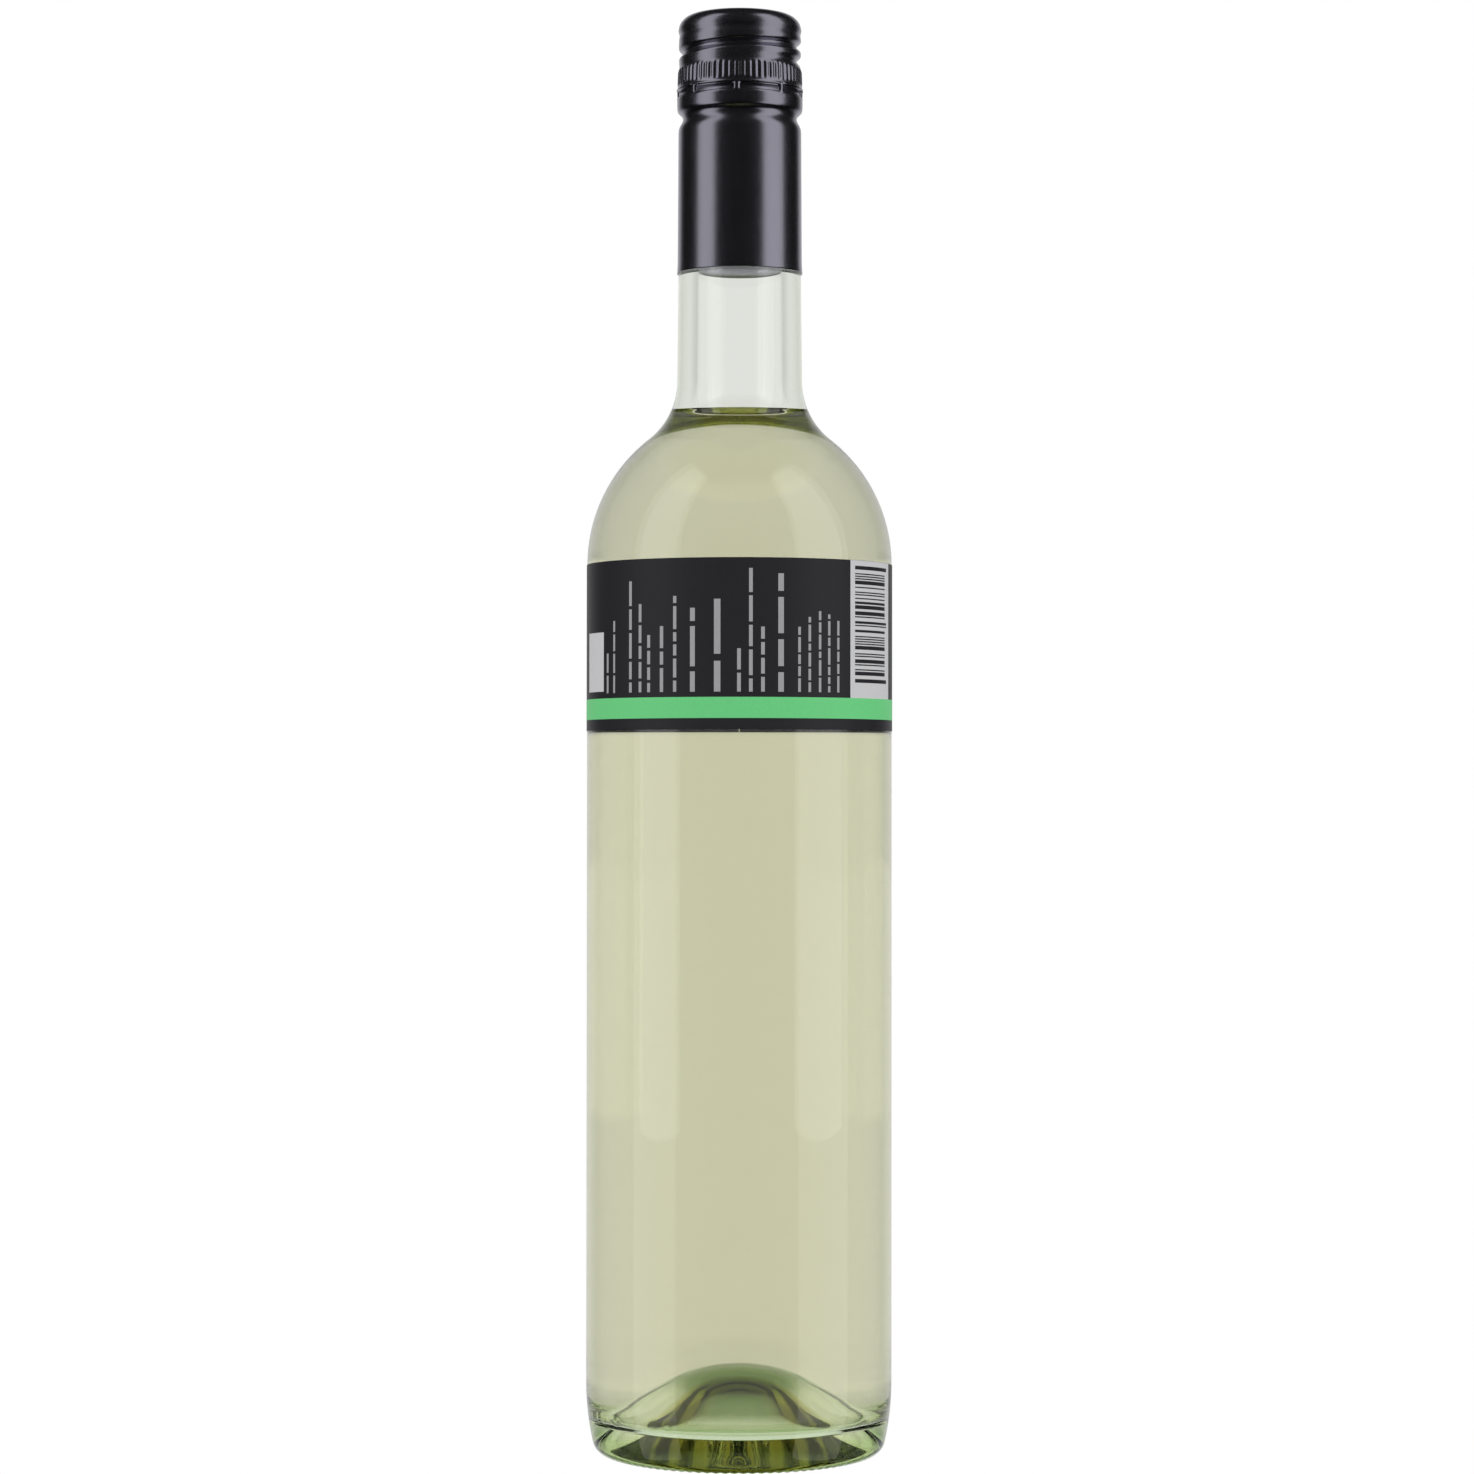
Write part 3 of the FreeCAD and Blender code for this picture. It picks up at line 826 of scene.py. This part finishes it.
@dataclass
class Wine:
    """The wine, which wets the wall and climbs it a little at its edge."""

    sizes: GlassSizes
    level: float
    overlap: float = 0.12 * MM
    climb: float = 3.2 * MM
    climb_width: float = 1.9 * MM
    edge_gap: float = 0.5 * MM
    surface_steps: int = 26
    edge_crowding: float = 2.2
    segments: int = 192

    def build(self) -> bpy.types.Object:
        """Turn the wine's body with its curved surface.

        Returns:
            The piece.
        """
        wall = self.sizes.inside(self.overlap)
        edge_height = self.level + self.climb
        below = [point for point in wall if point[1] < edge_height - self.edge_gap]
        crossing = wall[len(wall) - len(below) - 1]
        share = (edge_height - below[0][1]) / (crossing[1] - below[0][1])
        edge_radius = below[0][0] + (crossing[0] - below[0][0]) * share
        surface = []
        for step in range(self.surface_steps + 1):
            inward = (step / self.surface_steps) ** self.edge_crowding
            radius = edge_radius * (1.0 - inward)
            rise = self.climb * math.exp(-(edge_radius - radius) / self.climb_width)
            surface.append((radius, self.level + rise))
        outline = list(reversed(surface)) + below
        return spin_outline("wine_fill", outline, self.segments, loop=False)

    def dress(self, piece: bpy.types.Object) -> None:
        """Give the wine its clear finish in place of the plain solid."""
        dress(piece, WINE_FINISH.build())
        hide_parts("wine")


# ---------------------------------------------------------------- cap


@dataclass
class ScrewCap:
    """The one-piece metal cap: skirt, locking groove, loose band, knurl, thread and crown.

    The points in capitals are in millimetres, the other lengths in metres.
    """

    FOOT: ClassVar[Point] = (14.95, 280.6)
    SKIRT: ClassVar[Profile] = (
        (14.94, 281.1, 1), (14.86, 282.4, 1), (14.83, 283.8, 1), (14.78, 292.0, 4),
        (14.74, 300.0, 4), (14.7, 308.0, 4), (14.67, 314.2, 3), (14.6, 315.0, 1),
        (14.35, 315.7, 1), (13.95, 316.4, 1), (13.68, 317.0, 1), (13.6, 317.5, 1),
        (13.68, 318.0, 1), (14.0, 318.5, 1), (14.45, 318.9, 1), (14.8, 319.25, 1),
        (14.95, 319.8, 1), (15.0, 320.6, 1), (14.98, 321.8, 1), (14.96, 322.5, 1),
    )
    BANDS: ClassVar[Profile] = (
        (14.98, 324.3, 12), (14.86, 325.1, 4), (14.72, 328.6, 14), (14.45, 329.9, 6),
        (14.55, 331.2, 5), (14.6, 336.4, 26), (14.42, 337.6, 6), (14.7, 338.7, 5),
    )
    CEILING: ClassVar[Point] = (13.25, 324.0)
    INSIDE: ClassVar[tuple[Point, ...]] = (
        (14.6, 323.9), (14.6, 320.0), (13.3, 317.6), (13.3, 317.3), (14.38, 314.6), (14.55, 283.0),
    )

    bottom: float
    top: float
    seat: float
    sheet: float = 0.28 * MM
    segments: int = 384
    crown_radius: float = 14.7 * MM
    crown_edge: float = 3.6 * MM
    crown_turn: float = 20.0
    skin_reach: float = 14.0 * MM
    groove_low: float = 315.5 * MM
    groove_high: float = 319.5 * MM
    thread_low: float = 329.6 * MM
    thread_high: float = 338.2 * MM
    thread_start: float = 330.4 * MM
    thread_end: float = 336.6 * MM
    thread_pitch: float = 3.5 * MM
    thread_depth: float = 1.05 * MM
    thread_half_width: float = 1.45 * MM
    thread_fade: float = 0.9 * MM
    thread_turns: int = 3
    thread_phase: float = -math.pi / 2
    knurl_count: int = 64
    knurl_depth: float = 0.24 * MM
    knurl_bias: float = 0.6
    knurl_low: float = 325.2 * MM
    knurl_high: float = 329.5 * MM
    knurl_fade: float = 0.5 * MM
    knurl_reach: float = 14.3 * MM
    slot_height: float = 323.35 * MM
    slot_count: int = 8
    slot_depth: float = 0.55 * MM
    slot_half_width: float = 0.8 * MM
    slot_turn: float = math.radians(-3.0)
    slot_reach: float = 14.7 * MM
    bridge: float = 0.45 * MM
    bridge_fade: float = 0.4 * MM
    lip_gap: float = 0.25 * MM
    lip_half_width: float = 0.35 * MM
    lip_height: float = 0.18 * MM

    def skin(self) -> list[Point]:
        """Draw the outside, from the bottom edge up to the crown's middle.

        Returns:
            The points, as radius and height.
        """
        points = [self.FOOT] + corner_run(self.FOOT, self.SKIRT + self.BANDS)
        scaled = [(radius * MM, height * MM) for radius, height in points]
        edge = (self.crown_radius - self.crown_edge, self.top - self.crown_edge)
        rounded = arc(edge, self.crown_edge, self.crown_turn, 90.0, steps=12)
        crown = run((rounded[-1][0], self.top), (0.0, self.top), steps=10)
        return scaled + rounded + crown

    def lining(self) -> list[Point]:
        """Draw the inside, from under the crown down to the bottom edge.

        Returns:
            The points, as radius and height.
        """
        bore, ceiling = (part * MM for part in self.CEILING)
        points = run((0.0, self.seat), (bore, self.seat), steps=4)
        points += run(points[-1], (bore, ceiling), steps=4)
        for radius, height in self.INSIDE:
            points += run(points[-1], (radius * MM, height * MM), steps=2)
        edge = (self.FOOT[0] * MM - self.sheet, self.bottom)
        return points + run(points[-1], edge, steps=2)

    def build(self) -> bpy.types.Object:
        """Turn the shell, then roll the thread, the knurl and the slots into its skin.

        Returns:
            The piece.
        """
        piece = spin_outline("cap_shell", self.skin() + self.lining(), self.segments)
        move_points(piece, self.roll)
        return piece

    def thread_cut(self, angle: float, height: float) -> float:
        """Return how deep the rolled thread is at one place.

        Args:
            angle: The place's angle round the axis, in radians.
            height: Its height.

        Returns:
            The depth, in metres.
        """
        deepest = 0.0
        turns = (angle - self.thread_phase) / math.tau % 1.0
        for number in range(self.thread_turns):
            line = self.thread_start + (turns + number) * self.thread_pitch
            into = unit((line - self.thread_start) / self.thread_fade)
            left = unit((self.thread_end - line) / self.thread_fade)
            fade = into * left
            deepest = max(deepest, fade * hump(height - line, self.thread_half_width))
        return deepest * self.thread_depth

    def roll(self, radius: float, angle: float, height: float) -> Point:
        """Roll the thread, the knurl and the slots into one point of the skin.

        Args:
            radius: The point's distance from the axis.
            angle: Its angle round the axis, in radians.
            height: Its height.

        Returns:
            The new radius and the same height.
        """
        if radius < self.skin_reach and not self.groove_low < height < self.groove_high:
            return radius, height
        if self.thread_low < height < self.thread_high:
            radius -= self.thread_cut(angle, height)
        if self.knurl_low < height < self.knurl_high and radius > self.knurl_reach:
            ends = min(height - self.knurl_low, self.knurl_high - height) / self.knurl_fade
            ridge = abs(math.sin(self.knurl_count * angle / 2)) - self.knurl_bias
            radius += self.knurl_depth * min(1.0, ends) * ridge
        if radius > self.slot_reach:
            pitch = math.tau / self.slot_count
            middle = (angle - FRONT - self.slot_turn) % pitch - pitch / 2
            edge = (pitch / 2 - abs(middle)) * radius
            away = abs(height - self.slot_height) - self.slot_half_width
            fade = unit((edge - self.bridge) / self.bridge_fade)
            if away < 0.0:
                radius -= self.slot_depth * fade
            else:
                lip = hump(away - self.lip_gap, self.lip_half_width)
                radius += self.lip_height * lip * fade
        return radius, height

    def dress(self, piece: bpy.types.Object) -> None:
        """Give the cap its lacquer in place of the plain solid."""
        dress(piece, CAP_FINISH.build())
        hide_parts("screw_cap")


# ---------------------------------------------------------------- label


@dataclass(frozen=True)
class TextRow:
    """One upright row of dashes: its turn in degrees, its width and length in millimetres."""

    turn: float
    width: float
    length: float


@dataclass
class Label:
    """The wrap-round label with its fields of colour, all thin layers on the glass."""

    radius: float
    bottom: float
    top: float
    paper: float = 0.12 * MM
    ink: float = 0.02 * MM
    sunk: float = 0.05 * MM
    seam: float = 0.15
    turn_step: float = 1.5
    stripe: Span = (2.55 * MM, 7.4 * MM)
    badge: Field = ((-76.9, -60.7), (9.0 * MM, 22.9 * MM))
    code_turns: Span = (45.0, 74.6)
    code_margin: float = 0.05 * MM
    bar_turns: Span = (47.5, 69.6)
    bar_foot: float = 3.6 * MM
    bar_margin: float = 1.3 * MM
    bar_modules: int = 95
    bar_widths: tuple[int, ...] = (1, 1, 2, 3)
    bar_seed: int = 11
    guard_turn: float = 1.8
    guard_ends: tuple[int, int] = (4, 90)
    guard_middle: tuple[int, int] = (45, 50)
    text_foot: float = 8.6 * MM
    dash_share: float = 0.17
    dash_least: float = 0.14
    dash_lengths: Span = (1.3, 3.6)
    dash_gap: float = 0.45
    dash_end: float = 0.5
    dash_seed: int = 5
    rows: tuple[TextRow, ...] = (
        TextRow(-57.7, 1.5, 10.3), TextRow(-53.3, 1.3, 16.8), TextRow(-44.0, 1.7, 26.4),
        TextRow(-39.2, 1.6, 21.5), TextRow(-35.2, 1.6, 13.2), TextRow(-29.6, 1.8, 15.2),
        TextRow(-24.2, 1.6, 22.1), TextRow(-17.3, 2.6, 19.3), TextRow(-8.1, 3.6, 22.9),
        TextRow(-0.2, 1.7, 10.8), TextRow(4.1, 1.7, 28.4), TextRow(8.5, 1.7, 15.6),
        TextRow(15.2, 3.1, 28.7), TextRow(22.3, 1.1, 15.0), TextRow(26.4, 1.1, 17.3),
        TextRow(30.7, 1.1, 18.7), TextRow(34.7, 1.1, 18.0), TextRow(38.9, 1.1, 17.4),
    )

    def patch(self, mesh: bmesh.types.BMesh, field: Field, layer: float, under: float) -> None:
        """Spin one thin curved field on the label.

        Args:
            mesh: Where the field is added.
            field: Its two edges, in degrees to the right of the front, and its two heights.
            layer: How far its face stands out from the glass.
            under: How far its back lies from the glass.
        """
        turns, (low, high) = field
        inner = self.radius + under
        outer = self.radius + layer
        start = Matrix.Rotation(FRONT + math.radians(turns[0]), 3, "Z")
        corners = ((inner, low), (outer, low), (outer, high), (inner, high))
        section = mesh.faces.new([mesh.verts.new(start @ Vector((r, 0, z))) for r, z in corners])
        sweep = math.radians(turns[1] - turns[0])
        bmesh.ops.spin(
            mesh, geom=[section, *section.edges], cent=(0, 0, 0), axis=(0, 0, 1), angle=sweep,
            steps=max(1, math.ceil(abs(sweep) / math.radians(self.turn_step))),
        )

    def print_fields(
        self, name: str, fields: list[Field], finish: PrintFinish, face: float, back: float,
    ) -> bpy.types.Object:
        """Build several fields of one finish as one piece and dress it.

        Args:
            name: The piece's name.
            fields: The fields.
            finish: Their paper or ink.
            face: How far their faces stand out from the glass.
            back: How far their backs lie from the glass.

        Returns:
            The piece.
        """
        mesh = bmesh.new()
        for field in fields:
            self.patch(mesh, field, face, back)
        bmesh.ops.recalc_face_normals(mesh, faces=mesh.faces)
        piece = finish_mesh(name, mesh, smooth=False)
        dress(piece, finish.build())
        return piece

    def build(self) -> None:
        """Build the sleeve and everything printed on it."""
        half = 180.0 - self.seam / 2
        all_round = (-half, half)
        sleeve = self.print_fields(
            "label_sleeve", [(all_round, (self.bottom, self.top))], LABEL_BLACK,
            self.paper, -self.sunk)
        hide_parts("label")
        stripe = (self.bottom + self.stripe[0], self.bottom + self.stripe[1])
        turns, heights = self.badge
        badge = (turns, (self.bottom + heights[0], self.bottom + heights[1]))
        code = (self.code_turns, (stripe[1], self.top - self.code_margin))
        back = self.paper - self.ink
        first = self.paper + self.ink
        second = self.paper + 2 * self.ink
        self.print_fields("label_stripe", [(all_round, stripe)], LABEL_GREEN, first, back)
        self.print_fields("label_white_fields", [badge, code], LABEL_WHITE, first, back)
        self.print_fields("label_code_bars", self.bars(stripe[1]), LABEL_BLACK, second, back)
        self.print_fields("label_words", self.greeked_words(), LABEL_GREY, first, back)

    def bars(self, foot: float) -> list[Field]:
        """Lay out the code's bars, which stand for no number.

        Args:
            foot: The height of the white field's lower edge.

        Returns:
            The bars.
        """
        chance = random.Random(self.bar_seed)
        low = foot + self.bar_foot
        high = self.top - self.bar_margin
        module = (high - low) / self.bar_modules
        bars = []
        place = 0
        while place < self.bar_modules:
            thick = chance.choice(self.bar_widths)
            outer = place < self.guard_ends[0] or place > self.guard_ends[1]
            guard = outer or self.guard_middle[0] < place < self.guard_middle[1]
            end = self.bar_turns[1] + (self.guard_turn if guard else 0.0)
            top = min(place + thick, self.bar_modules)
            bars.append(((self.bar_turns[0], end), (low + place * module, low + top * module)))
            place += thick + chance.choice(self.bar_widths)
        return bars

    def greeked_words(self) -> list[Field]:
        """Lay out rows of plain dashes in place of words.

        Returns:
            The dashes.
        """
        chance = random.Random(self.dash_seed)
        dashes = []
        for row in self.rows:
            half = math.degrees((self.dash_share * row.width + self.dash_least) * MM / self.radius)
            turns = (row.turn - half, row.turn + half)
            place = self.bottom + self.text_foot
            end = place + row.length * MM
            while place < end - self.dash_end * row.width * MM:
                length = chance.uniform(*self.dash_lengths) * row.width * MM
                dashes.append((turns, (place, min(place + length, end))))
                place += length + self.dash_gap * row.width * MM
        return dashes


# ---------------------------------------------------------------- studio


@dataclass(frozen=True)
class SoftBox:
    """One soft box, hung upright, that faces the bottle."""

    name: str
    turn: float
    width: float
    power: float
    tall: float = 2.6
    height: float = 0.75
    reach: float = 0.9

    def hang(self) -> None:
        """Hang it to the right of the camera by its turn, in degrees."""
        data = bpy.data.lights.new(self.name, "AREA")
        data.shape = "RECTANGLE"
        data.size, data.size_y = self.width, self.tall
        data.energy = self.power
        lamp = bpy.data.objects.new(self.name, data)
        angle = FRONT + math.radians(self.turn)
        lamp.location = (self.reach * math.cos(angle), self.reach * math.sin(angle), self.height)
        lamp.rotation_euler = (math.radians(90.0), 0.0, angle + math.radians(90.0))
        bpy.context.scene.collection.objects.link(lamp)


@dataclass
class Studio:
    """A pale floor, a bright surround seen through the glass, two soft boxes and the camera."""

    distance: float = 954.0 * MM
    camera_height: float = 157.4 * MM
    camera_side: float = -0.55 * MM
    nearest: float = 10.0 * MM
    pitch: float = 0.76
    roll: float = -0.05
    lens: float = 97.7
    sensor: float = 36.0
    floor_reach: float = 6.0
    floor_color: Color = (0.8, 0.8, 0.8)
    clear_level: float = 0.82
    side_level: float = 0.62
    side_reach: Span = (0.55, 0.95)
    top_share: float = 0.55
    top_reach: Span = (0.72, 0.92)
    top_tint: Color = (1.0, 0.93, 0.4)
    gloss_level: float = 0.004
    gloss_behind: float = 0.7
    behind_reach: Span = (0.66, 0.95)
    plain_level: float = 0.8
    light_bounces: int = 32
    gloss_bounces: int = 12
    boxes: tuple[SoftBox, ...] = (
        SoftBox("soft_box_left", turn=-66.0, width=0.60, power=3.4),
        SoftBox("soft_box_right", turn=66.0, width=0.72, power=4.2),
    )

    def camera(self) -> None:
        """Stand the camera in front of the bottle, almost level."""
        data = bpy.data.cameras.new("camera")
        data.lens = self.lens
        data.sensor_width = self.sensor
        data.clip_start = self.nearest
        eye = bpy.data.objects.new("camera", data)
        eye.location = (self.camera_side, -self.distance, self.camera_height)
        eye.rotation_euler = (math.radians(90.0 + self.pitch), math.radians(self.roll), 0.0)
        bpy.context.scene.collection.objects.link(eye)
        bpy.context.scene.camera = eye

    def floor(self) -> None:
        """Lay the pale floor, which the camera and the glass see as plain white."""
        mesh = bmesh.new()
        bmesh.ops.create_grid(mesh, x_segments=1, y_segments=1, size=self.floor_reach)
        piece = finish_mesh("floor", mesh, smooth=False)
        kit = MaterialKit("pale_floor")
        path = kit.add("ShaderNodeLightPath")
        camera_ray = path.outputs["Is Camera Ray"]
        matt = kit.add("ShaderNodeBsdfDiffuse", Color=(*self.floor_color, 1.0))
        white = kit.add("ShaderNodeEmission", Color=(1, 1, 1, 1))
        kit.link(kit.ramp(camera_ray, self.clear_level, 1.0), white.inputs["Strength"])
        seen = kit.maths("MAXIMUM", camera_ray, path.outputs["Is Transmission Ray"])
        mix = kit.add("ShaderNodeMixShader")
        kit.link(seen, mix.inputs["Fac"])
        kit.link(matt.outputs["BSDF"], mix.inputs[1])
        kit.link(white.outputs["Emission"], mix.inputs[2])
        kit.link(mix.outputs["Shader"], kit.output.inputs["Surface"])
        piece.data.materials.append(kit.material)
        piece.visible_glossy = False

    def surround(self) -> None:
        """Set the world, which is white to the camera.

        Clear pieces show it bright, dimmer at the sides and warm at the top. Glossy pieces
        show it dark, but for what lies behind the bottle.
        """
        world = bpy.data.worlds.new("surround")
        bpy.context.scene.world = world
        kit = NodeKit(world, "ShaderNodeOutputWorld")
        rays = kit.add("ShaderNodeLightPath").outputs
        place = kit.add("ShaderNodeTexCoord")
        axes = kit.add("ShaderNodeSeparateXYZ")
        kit.link(place.outputs["Generated"], axes.inputs["Vector"])
        side = kit.maths("ABSOLUTE", axes.outputs["X"])
        sides = kit.soft_step(side, *self.side_reach, self.clear_level, self.side_level)
        above = kit.soft_step(axes.outputs["Z"], *self.top_reach)
        clear = kit.maths("MULTIPLY", sides, kit.ramp(above, 1.0, self.top_share))
        behind = kit.soft_step(
            axes.outputs["Y"], *self.behind_reach, self.gloss_level, self.gloss_behind)
        level = kit.mix(rays["Is Glossy Ray"], self.plain_level, behind)
        level = kit.mix(rays["Is Transmission Ray"], level, clear)
        level = kit.mix(rays["Is Camera Ray"], level, 1.0)
        warm = kit.maths("MULTIPLY", above, rays["Is Transmission Ray"])
        back = kit.add("ShaderNodeBackground")
        tone = kit.mix(warm, (1.0, 1.0, 1.0), self.top_tint, Mixed.COLOR)
        kit.link(tone, back.inputs["Color"])
        kit.link(level, back.inputs["Strength"])
        kit.link(back.outputs["Background"], kit.output.inputs["Surface"])

    def build(self) -> None:
        """Set up the whole studio."""
        scene = bpy.context.scene
        scene.view_settings.view_transform = "Standard"
        scene.cycles.max_bounces = self.light_bounces
        scene.cycles.transmission_bounces = self.light_bounces
        scene.cycles.glossy_bounces = self.gloss_bounces
        self.camera()
        self.floor()
        self.surround()
        for box in self.boxes:
            box.hang()


def main() -> None:
    """Build the bottle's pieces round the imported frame, then the studio."""
    logging.basicConfig(level=logging.INFO, format="%(name)s: %(message)s")
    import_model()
    glass_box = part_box("glass_bottle")
    cap_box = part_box("screw_cap")
    label_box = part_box("label")
    radius, _, mouth = glass_box[1]
    cap_bottom, cap_top = cap_box[0][2], cap_box[1][2]
    sizes = GlassSizes(body_radius=radius, cap_bottom=cap_bottom, mouth=mouth)
    Studio().build()
    glass = GlassBottle(sizes)
    glass.dress(glass.build())
    wine = Wine(sizes, level=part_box("wine")[1][2])
    wine.dress(wine.build())
    cap = ScrewCap(bottom=cap_bottom, top=cap_top, seat=mouth)
    cap.dress(cap.build())
    Label(radius=radius, bottom=label_box[0][2], top=label_box[1][2]).build()


if __name__ == "__main__":
    main()
